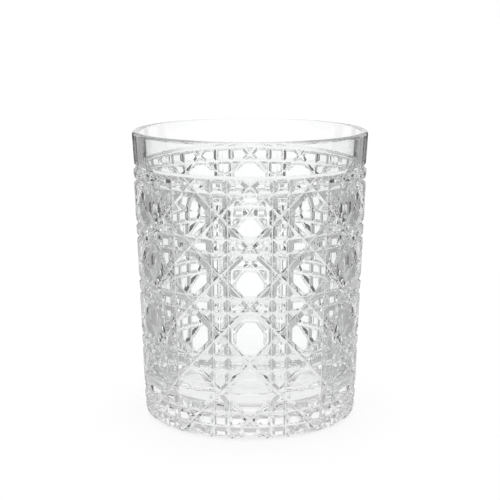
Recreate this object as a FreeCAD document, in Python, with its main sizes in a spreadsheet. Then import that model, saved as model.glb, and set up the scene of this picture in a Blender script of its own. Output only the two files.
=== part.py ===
"""Cane-cut whiskey tumbler, one piece of clear glass.

Frame: +Z up, origin at the centre of the flat underside, -Y towards the front.
The outside is a straight cone with a smooth band at the rim. Below the band it carries
a cane pattern of V grooves: pairs round the glass, pairs up the glass, and single
diagonals both ways, which leave octagonal windows in twelve columns.
"""
import FreeCAD, Part
import math
import os

import PartDesign
import Sketcher

NODE = "glass_body"
UP = FreeCAD.Vector(0, 0, 1)

# Driving dimensions, in millimetres. Each is a cell of the spreadsheet.
DIMENSIONS = {
    "height": 103.0,
    "rim_radius": 42.0,
    "base_radius": 38.1,
    # The patterned cone stands a little proud of the line from base to rim, the band a little inside it.
    "pattern_proud": 0.15,
    "band_inset": 0.15,
    "heel_round": 2.6,
    # Drinking cavity: a round-cornered floor, a thick straight wall, an S-shaped shoulder, a thin rim.
    "floor_height": 10.0,
    "floor_round": 12.0,
    "floor_radius": 34.6,
    "shoulder_base": 79.0,
    "shoulder_radius": 36.0,
    "rim_wall_base": 94.0,
    "rim_wall": 2.75,
    "lip_thickness": 2.5,
    # Cane pattern.
    "columns": 12.0,
    "row_pitch": 20.3,
    "lowest_strip": 6.85,
    "ring_offset": 2.45,
    "upright_offset": 2.87,
    "groove_depth": 1.3,
    "groove_half_width": 1.3,
    # Cutters stand this far out of the glass, so that they leave no skin.
    "clearance": 1.0,
}

# Pairs of ring grooves, one pair to a strip. The last ring is where the band begins.
STRIP_COUNT = 5

# The least volume that a feature may add or remove, in mm3, and how near to zero a height counts as zero.
LEAST_CHANGE = 1.0
NEAR_ZERO = 1e-6

# Sizes that follow from the driving ones.
DERIVED = {
    "taper": "=(rim_radius - base_radius) / height",
    "band_base": f"=lowest_strip + {STRIP_COUNT - 1} * row_pitch + ring_offset",
    "lip_round": "=lip_thickness / 2",
    "lip_base": "=height - lip_round",
    "rim_wall_radius": "=base_radius + taper * rim_wall_base - rim_wall",
    "mouth_half_width": "=groove_half_width * (1 + clearance / groove_depth)",
    "mean_radius": "=base_radius + taper * height / 2",
    "lead": "=columns * row_pitch",
    "diagonal_stretch": "=sqrt(1 + (lead / (2 * pi * mean_radius)) ^ 2)",
    "diagonal_start": "=lowest_strip - row_pitch",
    "overrun": "=2 * clearance",
}


def cone(z):
    """The patterned cone's radius at height z, as an expression."""
    return f"(dims.base_radius + dims.pattern_proud + dims.taper * ({z}))"


def make_sheet(doc):
    sheet = doc.addObject("Spreadsheet::Sheet", "dims")
    cells = [(alias, str(value)) for alias, value in DIMENSIONS.items()]
    cells += list(DERIVED.items())
    for row, (alias, content) in enumerate(cells, start=1):
        sheet.set(f"A{row}", alias)
        sheet.set(f"B{row}", content)
        sheet.setAlias(f"B{row}", alias)
    doc.recompute()
    return sheet


def origin_feature(body, role):
    return next(item for item in body.Origin.OriginFeatures if item.Role == role)


def add_sketch(body, name, role):
    sketch = body.newObject("Sketcher::SketchObject", name)
    sketch.AttachmentSupport = [(origin_feature(body, role), "")]
    sketch.MapMode = "FlatFace"
    return sketch


def value_of(sheet, expression):
    """The present value of an expression that is to drive a sketch constraint."""
    value = sheet.evalExpression(expression.replace("dims.", ""))
    return float(getattr(value, "Value", value))


def point_of(sheet, corner):
    return FreeCAD.Vector(value_of(sheet, corner[0]), value_of(sheet, corner[1]), 0)


def pin_point(sheet, sketch, geometry, end, corner):
    """Tie one end of a sketch line or arc to the expressions for its place."""
    place = point_of(sheet, corner)
    for kind, expression, value in (("DistanceX", corner[0], place.x), ("DistanceY", corner[1], place.y)):
        number = sketch.addConstraint(Sketcher.Constraint(kind, -1, 1, geometry, end, value))
        sketch.setExpression(f"Constraints[{number}]", expression)


def add_outline(sheet, sketch, corners):
    """A closed outline of straight edges through corners, each an (x, y) pair of expressions."""
    first = sketch.GeometryCount
    points = [point_of(sheet, corner) for corner in corners]
    count = len(points)
    for index in range(count):
        sketch.addGeometry(Part.LineSegment(points[index], points[(index + 1) % count]))
    for index in range(count):
        following = first + (index + 1) % count
        sketch.addConstraint(Sketcher.Constraint("Coincident", first + index, 2, following, 1))
    for index, corner in enumerate(corners):
        pin_point(sheet, sketch, first + index, 1, corner)


def add_groove_section(sheet, sketch, z, half_width="dims.mouth_half_width"):
    """The V of a groove whose bottom is at height z, in the plane through the axis."""
    mouth = f"{cone(z)} + dims.clearance"
    add_outline(sheet, sketch, [
        (f"{cone(z)} - dims.groove_depth", z),
        (mouth, f"{z} - {half_width}"),
        (mouth, f"{z} + {half_width}"),
    ])


def checked(doc, feature, before, adds=False):
    """Recompute, and make sure that the feature is sound and changed the volume the right way."""
    doc.recompute()
    shape = feature.Shape
    if {"Invalid", "Error"} & set(feature.State) or shape.isNull() or not shape.isValid():
        raise RuntimeError(f"{feature.Name} failed: {feature.State}")
    change = shape.Volume - (before.Shape.Volume if before else 0.0)
    if abs(change) < LEAST_CHANGE or (change > 0) != adds:
        raise RuntimeError(f"{feature.Name} changed the volume by {change:.1f} mm3")
    print(f"{feature.Name}: {change:+.0f} mm3, {len(shape.Faces)} faces", flush=True)
    return feature


def revolve(doc, body, kind, name, sketch):
    """A Revolution adds glass and a Groove removes it, both right round the sketch's vertical axis."""
    before = body.Tip
    feature = body.newObject(f"PartDesign::{kind}", name)
    feature.Profile = sketch
    feature.ReferenceAxis = (sketch, ["V_Axis"])
    feature.Angle = 360
    return checked(doc, feature, before, adds=(kind == "Revolution"))


def add_blank(doc, body, sheet):
    """A solid cone up to the band, for the pattern to be cut into."""
    sketch = add_sketch(body, "blank_section", "XZ_Plane")
    add_outline(sheet, sketch, [
        ("0", "0"),
        (cone("0"), "0"),
        (cone("dims.band_base"), "dims.band_base"),
        ("0", "dims.band_base"),
    ])
    return revolve(doc, body, "Revolution", "blank", sketch)


def round_heel(doc, body, blank):
    edges = []
    for index, edge in enumerate(blank.Shape.Edges, start=1):
        if isinstance(edge.Curve, Part.Circle) and abs(edge.Curve.Center.z) < NEAR_ZERO:
            edges.append(f"Edge{index}")
    fillet = body.newObject("PartDesign::Fillet", "heel")
    fillet.Base = (blank, edges)
    fillet.setExpression("Radius", "dims.heel_round")
    return checked(doc, fillet, blank)


def add_rings(doc, body, sheet):
    """A pair of ring grooves round each strip, but for the topmost, which the band overhangs."""
    sketch = add_sketch(body, "ring_sections", "XZ_Plane")
    add_groove_section(sheet, sketch, "dims.lowest_strip - dims.ring_offset")
    for strip in range(1, STRIP_COUNT):
        middle = f"dims.lowest_strip + {strip} * dims.row_pitch"
        add_groove_section(sheet, sketch, f"({middle} - dims.row_pitch + dims.ring_offset)")
        add_groove_section(sheet, sketch, f"({middle} - dims.ring_offset)")
    return revolve(doc, body, "Groove", "ring_grooves", sketch)


def add_diagonal(doc, body, sheet, name, left_handed):
    """One groove that climbs a row for each column that it crosses."""
    sketch = add_sketch(body, f"{name}_section", "XZ_Plane")
    add_groove_section(sheet, sketch, "dims.diagonal_start", "dims.mouth_half_width * dims.diagonal_stretch")
    before = body.Tip
    helix = body.newObject("PartDesign::SubtractiveHelix", name)
    helix.Profile = sketch
    helix.ReferenceAxis = (sketch, ["V_Axis"])
    helix.Mode = "pitch-height-angle"
    helix.setExpression("Pitch", "dims.lead")
    helix.setExpression("Height", "dims.band_base - dims.diagonal_start + dims.overrun")
    helix.setExpression("Angle", "atan(dims.taper)")
    helix.LeftHanded = left_handed
    return checked(doc, helix, before)


def add_upright(doc, body, sheet, name, side):
    """One groove up the cone, at one side of the line midway between two columns."""
    turn = f"(180 / dims.columns {side} asin(dims.upright_offset / dims.mean_radius) / 1 deg) * 1 deg"
    sections = []
    for label, z in (("foot", "-dims.overrun"), ("head", "dims.band_base + dims.overrun")):
        sketch = add_sketch(body, f"{name}_{label}", "XY_Plane")
        sketch.setExpression("AttachmentOffset.Base.z", z)
        mouth = f"({cone(z)} + dims.clearance)"
        bottom = f"({cone(z)} - dims.groove_depth)"
        across = f"dims.mouth_half_width * sin({turn})"
        along = f"dims.mouth_half_width * cos({turn})"
        add_outline(sheet, sketch, [
            (f"{bottom} * cos({turn})", f"{bottom} * sin({turn})"),
            (f"{mouth} * cos({turn}) + {across}", f"{mouth} * sin({turn}) - {along}"),
            (f"{mouth} * cos({turn}) - {across}", f"{mouth} * sin({turn}) + {along}"),
        ])
        sections.append(sketch)
    before = body.Tip
    loft = body.newObject("PartDesign::SubtractiveLoft", name)
    loft.Profile = sections[0]
    loft.Sections = [sections[1]]
    loft.Ruled = True
    return checked(doc, loft, before)


def repeat_round(doc, body, name, originals):
    before = body.Tip
    pattern = body.newObject("PartDesign::PolarPattern", name)
    pattern.Originals = originals
    pattern.Axis = (origin_feature(body, "Z_Axis"), [""])
    pattern.Angle = 360
    pattern.setExpression("Occurrences", "dims.columns")
    body.Tip = pattern
    return checked(doc, pattern, before)


def add_band(doc, body, sheet):
    """The smooth band above the pattern, solid, with the outer half of the round lip."""
    sketch = add_sketch(body, "band_section", "XZ_Plane")
    band_foot = ("dims.base_radius + dims.taper * dims.band_base - dims.band_inset", "dims.band_base")
    lip_outside = ("dims.rim_radius", "dims.lip_base")
    lip_centre = ("dims.rim_radius - dims.lip_round", "dims.lip_base")
    lip_top = ("dims.rim_radius - dims.lip_round", "dims.height")
    corners = [lip_top, ("0", "dims.height"), ("0", "dims.band_base"), band_foot, lip_outside]
    for start, stop in zip(corners, corners[1:]):
        sketch.addGeometry(Part.LineSegment(point_of(sheet, start), point_of(sheet, stop)))
    circle = Part.Circle(point_of(sheet, lip_centre), UP, sheet.lip_round)
    lip = sketch.addGeometry(Part.ArcOfCircle(circle, 0, math.pi / 2))
    for line in range(lip - 1):
        sketch.addConstraint(Sketcher.Constraint("Coincident", line, 2, line + 1, 1))
    sketch.addConstraint(Sketcher.Constraint("Coincident", lip - 1, 2, lip, 1))
    sketch.addConstraint(Sketcher.Constraint("Coincident", lip, 2, 0, 1))
    for line, corner in enumerate(corners[:-1]):
        pin_point(sheet, sketch, line, 1, corner)
    pin_point(sheet, sketch, lip, 1, lip_outside)
    number = sketch.addConstraint(Sketcher.Constraint("Radius", lip, sheet.lip_round))
    sketch.setExpression(f"Constraints[{number}]", "dims.lip_round")
    return revolve(doc, body, "Revolution", "band", sketch)


def arc_between(start, stop, heading):
    """The arc from start to stop that leaves start along heading.

    Sketch arcs run anticlockwise, so the arc's own first end is start only where it turns left.
    """
    chord = stop - start
    sideways = FreeCAD.Vector(-heading.y, heading.x, 0).normalize()
    reach = chord.dot(chord) / (2 * chord.dot(sideways))
    centre = start + sideways * reach
    first, last = (start, stop) if reach > 0 else (stop, start)
    circle = Part.Circle(centre, UP, abs(reach))
    angles = [math.atan2(end.y - centre.y, end.x - centre.x) for end in (first, last)]
    if angles[1] < angles[0]:
        angles[1] += 2 * math.pi
    return Part.ArcOfCircle(circle, *angles)


def cut_cavity(doc, body, sheet):
    """The drinking cavity with the inner half of the lip, and the topmost ring groove.

    The outline runs from the middle of the floor up the wall, through the shoulder and over the lip.
    """
    sketch = add_sketch(body, "cavity_section", "XZ_Plane")
    floor_middle = ("0", "dims.floor_height")
    floor_edge = ("dims.floor_radius - dims.floor_round", "dims.floor_height")
    wall_foot = ("dims.floor_radius", "dims.floor_height + dims.floor_round")
    shoulder_foot = ("dims.shoulder_radius", "dims.shoulder_base")
    rim_foot = ("dims.rim_wall_radius", "dims.rim_wall_base")
    lip_inside = ("dims.rim_radius - dims.lip_thickness", "dims.lip_base")
    lip_top = ("dims.rim_radius - dims.lip_round", "dims.height")
    lip_over = ("dims.rim_radius - dims.lip_round", "dims.height + dims.clearance")
    axis_over = ("0", "dims.height + dims.clearance")

    def place(corner):
        return point_of(sheet, corner)

    def line(start, stop):
        return sketch.addGeometry(Part.LineSegment(place(start), place(stop)))

    floor = line(floor_middle, floor_edge)
    wall = line(wall_foot, shoulder_foot)
    rim = line(rim_foot, lip_inside)
    up = line(lip_top, lip_over)
    across = line(lip_over, axis_over)
    axis = line(axis_over, floor_middle)
    wall_heading = place(shoulder_foot) - place(wall_foot)
    rim_heading = place(lip_inside) - place(rim_foot)
    shoulder_middle = (place(shoulder_foot) + place(rim_foot)) * 0.5
    corner_arc = arc_between(place(floor_edge), place(wall_foot), FreeCAD.Vector(1, 0, 0))
    lower_arc = arc_between(place(shoulder_foot), shoulder_middle, wall_heading)
    upper_arc = arc_between(place(rim_foot), shoulder_middle, rim_heading * -1)
    lip_circle = Part.Circle(place(("dims.rim_radius - dims.lip_round", "dims.lip_base")), UP, sheet.lip_round)
    corner = sketch.addGeometry(corner_arc)
    lower = sketch.addGeometry(lower_arc)
    upper = sketch.addGeometry(upper_arc)
    lip = sketch.addGeometry(Part.ArcOfCircle(lip_circle, math.pi / 2, math.pi))
    joins = [
        (floor, 2, corner, 1), (corner, 2, wall, 1), (rim, 2, lip, 2), (lip, 1, up, 1),
        (up, 2, across, 1), (across, 2, axis, 1), (axis, 2, floor, 1),
    ]
    for first, first_end, second, second_end in joins:
        sketch.addConstraint(Sketcher.Constraint("Coincident", first, first_end, second, second_end))
    # The shoulder: two equal arcs, one turning out of the wall and one turning back into the rim.
    sketch.addConstraint(Sketcher.Constraint("Tangent", wall, 2, lower, 2))
    sketch.addConstraint(Sketcher.Constraint("Tangent", lower, 1, upper, 1))
    sketch.addConstraint(Sketcher.Constraint("Tangent", upper, 2, rim, 1))
    sketch.addConstraint(Sketcher.Constraint("Equal", lower, upper))
    for geometry, end, corner_place in [
        (floor, 1, floor_middle), (floor, 2, floor_edge), (wall, 1, wall_foot), (wall, 2, shoulder_foot),
        (rim, 1, rim_foot), (rim, 2, lip_inside), (up, 1, lip_top), (up, 2, lip_over), (across, 2, axis_over),
    ]:
        pin_point(sheet, sketch, geometry, end, corner_place)
    for arc, radius_cell in ((corner, "floor_round"), (lip, "lip_round")):
        number = sketch.addConstraint(Sketcher.Constraint("Radius", arc, getattr(sheet, radius_cell)))
        sketch.setExpression(f"Constraints[{number}]", f"dims.{radius_cell}")
    add_groove_section(sheet, sketch, "dims.band_base")
    return revolve(doc, body, "Groove", "cavity_and_top_ring", sketch)


def build_glass(doc, sheet):
    body = doc.addObject("PartDesign::Body", NODE)
    body.Label = NODE
    blank = add_blank(doc, body, sheet)
    round_heel(doc, body, blank)
    add_rings(doc, body, sheet)
    cuts = [
        add_diagonal(doc, body, sheet, "rising_right", False),
        add_diagonal(doc, body, sheet, "rising_left", True),
        add_upright(doc, body, sheet, "upright_near", "-"),
        add_upright(doc, body, sheet, "upright_far", "+"),
    ]
    repeat_round(doc, body, "cane_pattern", cuts)
    add_band(doc, body, sheet)
    cut_cavity(doc, body, sheet)
    return body


def check_document(doc, body):
    doc.recompute()
    for item in doc.Objects:
        if {"Invalid", "Error"} & set(item.State):
            raise RuntimeError(f"{item.Name} is {item.State}")
    shape = body.Shape
    if shape.isNull() or not shape.isValid() or len(shape.Solids) != 1:
        raise RuntimeError(f"{body.Label} isn't one sound solid")


def main():
    doc = FreeCAD.newDocument("tumbler")
    sheet = make_sheet(doc)
    body = build_glass(doc, sheet)
    check_document(doc, body)
    print(f"{body.Label}: {body.Shape.Volume:.0f} mm3 of glass")
    os.makedirs("parts", exist_ok=True)
    body.Shape.exportStep(f"parts/{body.Label}.step")


main()
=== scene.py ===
"""Cane-cut whiskey tumbler: the visible glass, a white studio and the camera.

The glass is one closed mesh. Its cane pattern is worked out flat, in the unrolled plane of the
cone (x round the glass, y up it), cut along every crease, and then wrapped round the axis.
"""
import itertools
import math

import bmesh
import bpy
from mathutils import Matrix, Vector


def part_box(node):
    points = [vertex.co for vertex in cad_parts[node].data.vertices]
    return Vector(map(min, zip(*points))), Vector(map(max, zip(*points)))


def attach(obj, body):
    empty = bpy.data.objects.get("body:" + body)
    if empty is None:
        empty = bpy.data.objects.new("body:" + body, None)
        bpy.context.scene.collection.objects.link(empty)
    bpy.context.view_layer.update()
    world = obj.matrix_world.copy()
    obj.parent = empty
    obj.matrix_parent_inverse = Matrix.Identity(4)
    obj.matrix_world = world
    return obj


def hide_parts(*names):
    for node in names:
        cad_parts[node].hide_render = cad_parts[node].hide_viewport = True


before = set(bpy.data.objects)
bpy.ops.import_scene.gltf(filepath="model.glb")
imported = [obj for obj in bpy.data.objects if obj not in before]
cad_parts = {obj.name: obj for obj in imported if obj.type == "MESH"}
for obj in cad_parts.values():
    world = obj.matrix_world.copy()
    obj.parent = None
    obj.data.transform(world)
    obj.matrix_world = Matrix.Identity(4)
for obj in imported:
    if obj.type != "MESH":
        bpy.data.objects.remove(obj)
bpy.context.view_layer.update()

# Lengths below are in millimetres, and the mesh is scaled to metres at the end.
MM = 0.001
low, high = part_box("glass_body")
HEIGHT = (high[2] - low[2]) / MM
RIM_RADIUS = (high[0] - low[0]) / 2 / MM

# The outside: a straight cone, with a smooth band at the rim.
BASE_RADIUS = 38.1
PATTERN_PROUD = 0.15
BAND_INSET = 0.15
HEEL_ROUND = 2.6
TAPER = (RIM_RADIUS - BASE_RADIUS) / HEIGHT
MEAN_RADIUS = BASE_RADIUS + TAPER * HEIGHT / 2

# The inside: a round-cornered floor, a thick straight wall, an S-shaped shoulder and a thin rim.
FLOOR_HEIGHT = 10.0
FLOOR_ROUND = 12.0
FLOOR_RADIUS = 34.6
SHOULDER_BASE = 79.0
SHOULDER_RADIUS = 36.0
RIM_WALL_BASE = 94.0
RIM_WALL = 2.75
LIP_THICKNESS = 2.5
LIP_ROUND = LIP_THICKNESS / 2

# The cane pattern.
COLUMNS = 12
STRIPS = 5
ROW_PITCH = 20.3
LOWEST_STRIP = 6.85
RING_OFFSET = 2.45
UPRIGHT_OFFSET = 2.87
GROOVE_DEPTH = 1.3
GROOVE_HALF_WIDTH = 1.3
CROSSING_REACH = 4 * GROOVE_HALF_WIDTH
# Polishing rounds the groove bottoms more than the edges that stand out.
GROOVE_ROUND = 0.26
EDGE_ROUND = 0.15
ROUNDING_STEPS = 3
SHARP_DEGREES = 20
BAND_BASE = LOWEST_STRIP + (STRIPS - 1) * ROW_PITCH + RING_OFFSET
HALF_COLUMN = math.pi / COLUMNS * MEAN_RADIUS

# How finely the round shapes are divided.
HALF_COLUMN_STEPS = 6
HEEL_STEPS = 8
BAND_STEPS = 3
LIP_STEPS = 14
RIM_WALL_STEPS = 3
SHOULDER_STEPS = 8
WALL_STEPS = 10
CORNER_STEPS = 16
FLOOR_STEPS = 5
FLOOR_CENTRE_RADIUS = 2.0
UNDERSIDE_RINGS = (0.85, 0.6, 0.35, 0.1)

# How near two places count as one, and how near to zero a determinant means parallel lines.
CUT_REACH = 1e-4
FLAT_MERGE = 1e-3
WRAPPED_MERGE = 2e-3
LEVEL_REACH = 1e-3
PARALLEL = 1e-6
PLACE_DIGITS = 4


def cone(z):
    return BASE_RADIUS + PATTERN_PROUD + TAPER * z


# ---------------------------------------------------------------- the pattern, flat

class Groove:
    """A straight V groove in the unrolled plane, through a point, along a direction."""

    def __init__(self, point, direction):
        self.point = Vector(point)
        self.normal = Vector((-direction[1], direction[0])).normalized()

    def distance(self, place):
        return self.normal.dot(place - self.point)

    def depth(self, place):
        return GROOVE_DEPTH * max(0.0, 1 - abs(self.distance(place)) / GROOVE_HALF_WIDTH)

    def crossing(self, other):
        """Where two groove bottoms meet, or None if they are parallel."""
        det = self.normal.x * other.normal.y - self.normal.y * other.normal.x
        if abs(det) < PARALLEL:
            return None
        own, theirs = self.normal.dot(self.point), other.normal.dot(other.point)
        x = (own * other.normal.y - theirs * self.normal.y) / det
        y = (self.normal.x * theirs - other.normal.x * own) / det
        return Vector((x, y))


def half_column_grooves():
    """Every groove that reaches the half column from its middle line (x = 0) to its edge."""
    grooves = [Groove((HALF_COLUMN - UPRIGHT_OFFSET, 0), (0, 1))]
    for strip in range(-1, STRIPS + 1):
        middle = LOWEST_STRIP + strip * ROW_PITCH
        grooves.append(Groove((0, middle), (HALF_COLUMN, ROW_PITCH / 2)))
        grooves.append(Groove((0, middle), (HALF_COLUMN, -ROW_PITCH / 2)))
        if 0 <= strip < STRIPS:
            grooves.append(Groove((0, middle - RING_OFFSET), (1, 0)))
            grooves.append(Groove((0, middle + RING_OFFSET), (1, 0)))
    return grooves


def cut(mesh, faces, point, normal):
    """Split these faces along the line through point."""
    edges = {edge for face in faces for edge in face.edges}
    verts = {vert for face in faces for vert in face.verts}
    bmesh.ops.bisect_plane(
        mesh,
        geom=list(verts) + list(edges) + list(faces),
        dist=CUT_REACH,
        plane_co=(point[0], point[1], 0),
        plane_no=(normal[0], normal[1], 0),
    )


def shared_faces(mesh, first, second, meeting):
    """The faces that lie in both grooves, near where the two meet."""
    shared = []
    for face in mesh.faces:
        middle = face.calc_center_median().xy
        near = (middle - meeting).length <= CROSSING_REACH
        if near and first.depth(middle) > 0 and second.depth(middle) > 0:
            shared.append(face)
    return shared


def flat_half_column(grooves):
    """Half a column of the pattern as a flat mesh, with an edge along every crease."""
    mesh = bmesh.new()
    corners = [(0, 0), (HALF_COLUMN, 0), (HALF_COLUMN, BAND_BASE), (0, BAND_BASE)]
    mesh.faces.new([mesh.verts.new((x, y, 0)) for x, y in corners])
    # Upright lines, so that the wrapped cone is round.
    for step in range(1, HALF_COLUMN_STEPS):
        cut(mesh, list(mesh.faces), (HALF_COLUMN * step / HALF_COLUMN_STEPS, 0), (1, 0))
    # Level lines round the heel's curve.
    for step in range(1, HEEL_STEPS + 1):
        height = HEEL_ROUND * (1 - math.cos(math.pi / 2 * step / HEEL_STEPS))
        cut(mesh, list(mesh.faces), (0, height), (0, 1))
    for groove in grooves:
        for side in (-1, 0, 1):
            edge = groove.point + groove.normal * side * GROOVE_HALF_WIDTH
            cut(mesh, list(mesh.faces), edge, groove.normal)
    # Where two grooves cross, their flanks meet in a pair of mitres.
    for index, first in enumerate(grooves):
        for second in grooves[index + 1:]:
            meeting = first.crossing(second)
            if meeting is None:
                continue
            for normal in (first.normal - second.normal, first.normal + second.normal):
                shared = shared_faces(mesh, first, second, meeting)
                if shared:
                    cut(mesh, shared, meeting, normal)
    bmesh.ops.remove_doubles(mesh, verts=mesh.verts, dist=FLAT_MERGE)
    return mesh


def outer_radius(x, z, grooves):
    depth = max(groove.depth(Vector((x, z))) for groove in grooves)
    radius = cone(z) - depth
    if z < HEEL_ROUND:
        rise = HEEL_ROUND - z
        heel = cone(0) - HEEL_ROUND + math.sqrt(HEEL_ROUND ** 2 - rise ** 2)
        radius = min(radius, heel)
    return radius


# ---------------------------------------------------------------- the glass

def arc(centre, radius, start, stop, steps):
    """Points round an arc in the (r, z) plane, angles in degrees, both ends included."""
    points = []
    for step in range(steps + 1):
        angle = math.radians(start + (stop - start) * step / steps)
        points.append((centre[0] + radius * math.cos(angle), centre[1] + radius * math.sin(angle)))
    return points


def straight(start, stop, steps):
    """Points along a line in the (r, z) plane, both ends included."""
    start, stop = Vector(start), Vector(stop)
    return [tuple(start.lerp(stop, step / steps)) for step in range(steps + 1)]


def bend(start, stop, heading, steps):
    """Points along the arc that leaves start along heading and ends at stop."""
    start, stop = Vector(start), Vector(stop)
    sideways = Vector((-heading[1], heading[0])).normalized()
    chord = stop - start
    reach = chord.length_squared / (2 * chord.dot(sideways))
    centre = start + sideways * reach
    first = math.atan2(start.y - centre.y, start.x - centre.x)
    turn = (start - centre).angle_signed(stop - centre)
    return arc(centre, abs(reach), math.degrees(first), math.degrees(first - turn), steps)


def inside_profile():
    """From the topmost ring groove up over the lip and down the inside to the floor, as (r, z)."""
    shoulder_height = BAND_BASE + GROOVE_HALF_WIDTH - BAND_INSET
    band_foot = (BASE_RADIUS - BAND_INSET + TAPER * shoulder_height, shoulder_height)
    lip_base = HEIGHT - LIP_ROUND
    lip = arc((RIM_RADIUS - LIP_ROUND, lip_base), LIP_ROUND, 0, 180, LIP_STEPS)
    rim_foot = (BASE_RADIUS + TAPER * RIM_WALL_BASE - RIM_WALL, RIM_WALL_BASE)
    wall_head = (SHOULDER_RADIUS, SHOULDER_BASE)
    wall_foot = (FLOOR_RADIUS, FLOOR_HEIGHT + FLOOR_ROUND)
    middle = (Vector(rim_foot) + Vector(wall_head)) / 2
    upper = bend(rim_foot, middle, Vector(rim_foot) - Vector(lip[-1]), SHOULDER_STEPS)
    lower = bend(wall_head, middle, Vector(wall_head) - Vector(wall_foot), SHOULDER_STEPS)[::-1]
    corner_centre = (FLOOR_RADIUS - FLOOR_ROUND, FLOOR_HEIGHT + FLOOR_ROUND)
    corner = arc(corner_centre, FLOOR_ROUND, 0, -90, CORNER_STEPS)
    floor = straight(corner[-1], (FLOOR_CENTRE_RADIUS, FLOOR_HEIGHT), FLOOR_STEPS)
    rim_wall = straight(lip[-1], rim_foot, RIM_WALL_STEPS)
    wall = straight(wall_head, wall_foot, WALL_STEPS)
    band = straight(band_foot, lip[0], BAND_STEPS)
    parts = [band, lip, rim_wall, upper, lower, wall, corner, floor]
    profile = []
    for part in parts:
        profile += part if not profile else part[1:]
    return profile


def lathe_on(mesh, loop, profile):
    """Carry a loop of points, in order round the axis, on through rings of the profile to the axis."""
    count = len(loop)
    directions = [Vector((vert.co.x, vert.co.y)).normalized() for vert in loop]
    for radius, height in profile:
        ring = [mesh.verts.new((way.x * radius, way.y * radius, height)) for way in directions]
        for index in range(count):
            following = (index + 1) % count
            mesh.faces.new([loop[index], loop[following], ring[following], ring[index]])
        loop = ring
    centre = mesh.verts.new((0, 0, profile[-1][1]))
    for index in range(count):
        mesh.faces.new([loop[index], loop[(index + 1) % count], centre])


def boundary_loop(mesh, height):
    """The open edge's points at this height, in order round the axis."""
    verts = {vert for edge in mesh.edges if edge.is_boundary for vert in edge.verts}
    level = [vert for vert in verts if abs(vert.co.z - height) < LEVEL_REACH]
    return sorted(level, key=lambda vert: math.atan2(vert.co.y, vert.co.x))


def weigh_edges(mesh):
    """Mark how much polishing rounds each cut edge."""
    weight = mesh.edges.layers.float.new("bevel_weight_edge")
    for edge in mesh.edges:
        if edge.calc_face_angle() > math.radians(SHARP_DEGREES):
            edge[weight] = EDGE_ROUND / GROOVE_ROUND if edge.is_convex else 1.0


def key_of(corner):
    """A name for a place in the flat pattern, the same for places that round alike."""
    return (round(corner.x, PLACE_DIGITS), round(corner.y, PLACE_DIGITS))


def wrap_half_column(mesh, faces, radii, column, mirror):
    """Lay the flat half column on the cone, at one side (mirror 1 or -1) of a column's middle."""
    made = {}
    for corners in faces:
        ring = []
        for corner in corners:
            key = key_of(corner)
            if key not in made:
                turn = 2 * math.pi * column / COLUMNS + mirror * corner.x / MEAN_RADIUS
                radius = radii[key]
                made[key] = mesh.verts.new((radius * math.cos(turn), radius * math.sin(turn), corner.y))
            ring.append(made[key])
        mesh.faces.new(ring if mirror > 0 else ring[::-1])


def glass_mesh():
    grooves = half_column_grooves()
    flat = flat_half_column(grooves)
    faces = [[vert.co.xy.copy() for vert in face.verts] for face in flat.faces]
    flat.free()
    radii = {}
    for corners in faces:
        for corner in corners:
            radii.setdefault(key_of(corner), outer_radius(corner.x, corner.y, grooves))
    mesh = bmesh.new()
    for column in range(COLUMNS):
        for mirror in (-1, 1):
            wrap_half_column(mesh, faces, radii, column, mirror)
    bmesh.ops.remove_doubles(mesh, verts=mesh.verts, dist=WRAPPED_MERGE)
    lathe_on(mesh, boundary_loop(mesh, BAND_BASE), inside_profile())
    foot = cone(0) - HEEL_ROUND
    lathe_on(mesh, boundary_loop(mesh, 0.0), [(foot * share, 0.0) for share in UNDERSIDE_RINGS])
    bmesh.ops.recalc_face_normals(mesh, faces=mesh.faces)
    weigh_edges(mesh)
    bmesh.ops.scale(mesh, vec=(MM, MM, MM), verts=mesh.verts)
    return mesh


GLASS_TINT = (0.985, 0.99, 0.99, 1)
GLASS_IOR = 1.53


def crystal():
    material = bpy.data.materials.new("crystal")
    material.use_nodes = True
    shader = material.node_tree.nodes["Principled BSDF"]
    shader.inputs["Base Color"].default_value = GLASS_TINT
    shader.inputs["Transmission Weight"].default_value = 1.0
    shader.inputs["IOR"].default_value = GLASS_IOR
    shader.inputs["Roughness"].default_value = 0.0
    return material


def soften_edges(glass):
    """Round every cut edge a little, as polishing does, and keep the facets between them flat."""
    bevel = glass.modifiers.new("polish", "BEVEL")
    bevel.width = GROOVE_ROUND * MM
    bevel.segments = ROUNDING_STEPS
    bevel.limit_method = "WEIGHT"
    bevel.use_clamp_overlap = False
    weighted = glass.modifiers.new("flat_facets", "WEIGHTED_NORMAL")
    # The most that a large face can count against the small ones of the rounding.
    weighted.weight = 100
    weighted.mode = "FACE_AREA"
    graph = bpy.context.evaluated_depsgraph_get()
    finished = bpy.data.meshes.new_from_object(glass.evaluated_get(graph))
    glass.modifiers.clear()
    glass.data = finished
    print("finished faces", len(finished.polygons))


def make_glass():
    mesh = glass_mesh()
    data = bpy.data.meshes.new("tumbler_glass")
    mesh.to_mesh(data)
    open_edges = sum(1 for edge in mesh.edges if not edge.is_manifold)
    print("faces", len(mesh.faces), "open edges", open_edges)
    mesh.free()
    data.shade_smooth()
    glass = bpy.data.objects.new("tumbler_glass", data)
    bpy.context.scene.collection.objects.link(glass)
    data.materials.append(crystal())
    soften_edges(glass)
    return glass


# ---------------------------------------------------------------- the studio

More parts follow.
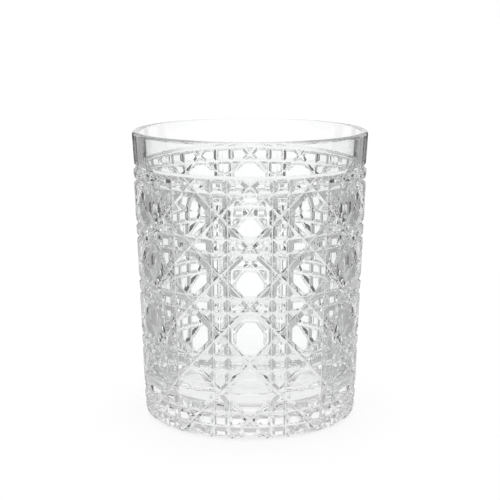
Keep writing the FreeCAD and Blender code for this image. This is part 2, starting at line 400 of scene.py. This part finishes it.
# Metres, and degrees of turn from straight behind the glass.
FLOOR_RADIUS_M = 6.0
FLOOR_SIDES = 96
FLOOR_GAP = 0.0002
FLOOR_SHADE = (0.35, 0.35, 0.35, 1)
FLOOR_ROUGHNESS = 0.9
FLOOR_SHEEN = 0.1
FLOOR_GLOW = 0.765
CARD_DISTANCE = 0.30
CARD_PAIRS = [(23, 34), (56, 70)]
CARD_HEIGHT = 0.30
CARD_LEVEL = 0.06
# The surround is a glowing grey sheet over the floor, seen only through the glass: partly dark surroundings,
# partly painted shade on the floor.
SURROUND_RINGS = (0.037, 0.17, 1.5)
SURROUND_ANGLES = (23, 115)
SURROUND_SIDES = 72
SURROUND_HEIGHT = 0.0001
SURROUND_SHADE_LEVEL = 0.4
WHITE = 1.0
ROOM_LEVEL = 0.58
# The studio's lights: the level over the room's, the turns and the rises between which each shines.
STUDIO_LIGHTS = {
    "white sweep": (0.36, (-20, 21), (-90, 24)),
    "side softboxes": (0.4, (36, 52), (-5, 50)),
    "ceiling softbox": (0.4, (-20, 200), (62, 100)),
    "white wall in front": (0.28, (115, 200), (-90, 40)),
}
# How many degrees to each side of its border a light takes to fade.
TURN_FADE = 2.5
RISE_FADE = 3


def make_floor():
    mesh = bmesh.new()
    bmesh.ops.create_circle(mesh, cap_ends=True, segments=FLOOR_SIDES, radius=FLOOR_RADIUS_M)
    data = bpy.data.meshes.new("studio_floor")
    mesh.to_mesh(data)
    mesh.free()
    floor = bpy.data.objects.new("studio_floor", data)
    floor.location.z = -FLOOR_GAP
    bpy.context.scene.collection.objects.link(floor)
    material = bpy.data.materials.new("floor_white")
    material.use_nodes = True
    shader = material.node_tree.nodes["Principled BSDF"]
    shader.inputs["Base Color"].default_value = FLOOR_SHADE
    shader.inputs["Roughness"].default_value = FLOOR_ROUGHNESS
    shader.inputs["Specular IOR Level"].default_value = FLOOR_SHEEN
    shader.inputs["Emission Color"].default_value = (1, 1, 1, 1)
    shader.inputs["Emission Strength"].default_value = FLOOR_GLOW
    data.materials.append(material)


def make_cards():
    """Black cards that stand behind and beside the glass, left and right, and draw its dark edges.

    They are out of the picture: only light that has come through the glass or off it meets them.
    """
    material = glowing("card_black", CARD_LEVEL)
    for side, angles in itertools.product((-1, 1), CARD_PAIRS):
        turns = [math.radians(angle) for angle in angles]
        corners = [(CARD_DISTANCE * math.sin(turn) * side, CARD_DISTANCE * math.cos(turn)) for turn in turns]
        data = bpy.data.meshes.new("card")
        verts = [(x, y, z) for z in (0, CARD_HEIGHT) for x, y in corners]
        data.from_pydata(verts, [], [(0, 1, 3, 2)])
        data.materials.append(material)
        card = bpy.data.objects.new("card", data)
        bpy.context.scene.collection.objects.link(card)
        hide_from_picture(card)


def make_surround():
    """A glowing grey sheet just above the floor at each side of the glass, seen only through it, as the
    cards are. Its grey gives the glass dark surroundings, as the cards do, and is painted shade too: through
    the glass the floor there looks darker than it is, as in the glass's own shadow.

    It leaves the floor white behind the glass, in front of it and in a small round under it.
    """
    mesh = bmesh.new()
    turns = [2 * math.pi * step / SURROUND_SIDES for step in range(SURROUND_SIDES)]
    loops = []
    for radius in SURROUND_RINGS:
        loops.append([mesh.verts.new((radius * math.sin(a), radius * math.cos(a), 0)) for a in turns])
    for inner, outer in zip(loops, loops[1:]):
        for step in range(SURROUND_SIDES):
            middle = (step + 0.5) * 360 / SURROUND_SIDES
            off_axis = min(middle, 360 - middle)
            if not SURROUND_ANGLES[0] < off_axis < SURROUND_ANGLES[1]:
                continue
            after = (step + 1) % SURROUND_SIDES
            mesh.faces.new([inner[step], outer[step], outer[after], inner[after]])
    data = bpy.data.meshes.new("studio_surround")
    mesh.to_mesh(data)
    mesh.free()
    # Its glow is partly painted shade: the floor seen through the glass is drawn darker than it is.
    data.materials.append(glowing("surround_painted_shade", SURROUND_SHADE_LEVEL))
    surround = bpy.data.objects.new("studio_surround", data)
    surround.location.z = SURROUND_HEIGHT
    bpy.context.scene.collection.objects.link(surround)
    hide_from_picture(surround)


def hide_from_picture(thing):
    """Studio gear that stands out of the picture: only light through or off the glass meets it."""
    thing.visible_camera = False
    thing.visible_diffuse = False
    thing.visible_shadow = False


def glowing(name, level):
    material = bpy.data.materials.new(name)
    material.use_nodes = True
    shader = material.node_tree.nodes["Principled BSDF"]
    shader.inputs["Base Color"].default_value = (0, 0, 0, 1)
    shader.inputs["Specular IOR Level"].default_value = 0
    shader.inputs["Emission Color"].default_value = (1, 1, 1, 1)
    shader.inputs["Emission Strength"].default_value = level
    return material


class NodeMaths:
    """Short names for the maths nodes of one node tree."""

    def __init__(self, tree):
        self.nodes = tree.nodes
        self.links = tree.links

    def maths(self, operation, first, second=None):
        node = self.nodes.new("ShaderNodeMath")
        node.operation = operation
        for socket, value in zip(node.inputs, (first, second)):
            if value is None:
                continue
            if isinstance(value, (int, float)):
                socket.default_value = value
            else:
                self.links.new(value, socket)
        return node.outputs[0]

    def fade(self, value, start, stop):
        """0 before start and 1 after stop, smooth between; the other way round if stop is less."""
        node = self.nodes.new("ShaderNodeMapRange")
        node.interpolation_type = "SMOOTHSTEP"
        node.inputs["From Min"].default_value = min(start, stop)
        node.inputs["From Max"].default_value = max(start, stop)
        node.inputs["To Min"].default_value = 0 if start < stop else 1
        node.inputs["To Max"].default_value = 1 if start < stop else 0
        self.links.new(value, node.inputs["Value"])
        return node.outputs["Result"]

    def window(self, value, low, high, soft):
        rise = self.fade(value, low - soft, low + soft)
        fall = self.fade(value, high + soft, high - soft)
        return self.maths("MULTIPLY", rise, fall)


def make_world():
    """The studio: a dim room with the lights above, behind a picture whose own background is white."""
    world = bpy.data.worlds.new("studio")
    bpy.context.scene.world = world
    world.use_nodes = True
    tree = world.node_tree
    tree.nodes.clear()
    build = NodeMaths(tree)
    place = tree.nodes.new("ShaderNodeTexCoord")
    split = tree.nodes.new("ShaderNodeSeparateXYZ")
    tree.links.new(place.outputs["Generated"], split.inputs[0])
    sideways = build.maths("ABSOLUTE", split.outputs["X"])
    turn = build.maths("DEGREES", build.maths("ARCTAN2", sideways, split.outputs["Y"]))
    rise = build.maths("DEGREES", build.maths("ARCSINE", split.outputs["Z"]))
    total = None
    for level, turns, rises in STUDIO_LIGHTS.values():
        mask = build.maths(
            "MULTIPLY",
            build.window(turn, *turns, TURN_FADE),
            build.window(rise, *rises, RISE_FADE),
        )
        lit = build.maths("MULTIPLY", mask, level)
        total = lit if total is None else build.maths("ADD", total, lit)
    total = build.maths("ADD", total, ROOM_LEVEL)
    studio = tree.nodes.new("ShaderNodeBackground")
    studio.inputs["Color"].default_value = (1, 1, 1, 1)
    tree.links.new(total, studio.inputs["Strength"])
    plain = tree.nodes.new("ShaderNodeBackground")
    plain.inputs["Color"].default_value = (1, 1, 1, 1)
    plain.inputs["Strength"].default_value = WHITE
    path = tree.nodes.new("ShaderNodeLightPath")
    mix = tree.nodes.new("ShaderNodeMixShader")
    out = tree.nodes.new("ShaderNodeOutputWorld")
    tree.links.new(path.outputs["Is Camera Ray"], mix.inputs["Fac"])
    tree.links.new(studio.outputs[0], mix.inputs[1])
    tree.links.new(plain.outputs[0], mix.inputs[2])
    tree.links.new(mix.outputs[0], out.inputs["Surface"])


# The camera's place in metres, its downward tilt in degrees, and its lens and sensor in millimetres.
CAMERA_PLACE = (0, -0.4789, 0.1528)
CAMERA_TILT = 11.06
CAMERA_LENS = 97.1
CAMERA_SENSOR = 36


def make_camera():
    data = bpy.data.cameras.new("camera")
    data.sensor_width = CAMERA_SENSOR
    data.lens = CAMERA_LENS
    camera = bpy.data.objects.new("camera", data)
    camera.location = CAMERA_PLACE
    camera.rotation_euler = (math.radians(90 - CAMERA_TILT), 0, 0)
    bpy.context.scene.collection.objects.link(camera)
    bpy.context.scene.camera = camera


# Light crosses many faces of the glass before it leaves.
GLASS_BOUNCES = 32
GLOSSY_BOUNCES = 12


def set_render():
    scene = bpy.context.scene
    scene.view_settings.view_transform = "Standard"
    scene.view_settings.look = "None"
    scene.cycles.max_bounces = GLASS_BOUNCES
    scene.cycles.transmission_bounces = GLASS_BOUNCES
    scene.cycles.glossy_bounces = GLOSSY_BOUNCES
    scene.cycles.transparent_max_bounces = GLASS_BOUNCES
    scene.cycles.caustics_refractive = True
    scene.cycles.caustics_reflective = True
    scene.cycles.use_denoising = True


glass = make_glass()
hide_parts("glass_body")
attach(glass, "root")
make_floor()
make_cards()
make_surround()
make_world()
make_camera()
set_render()
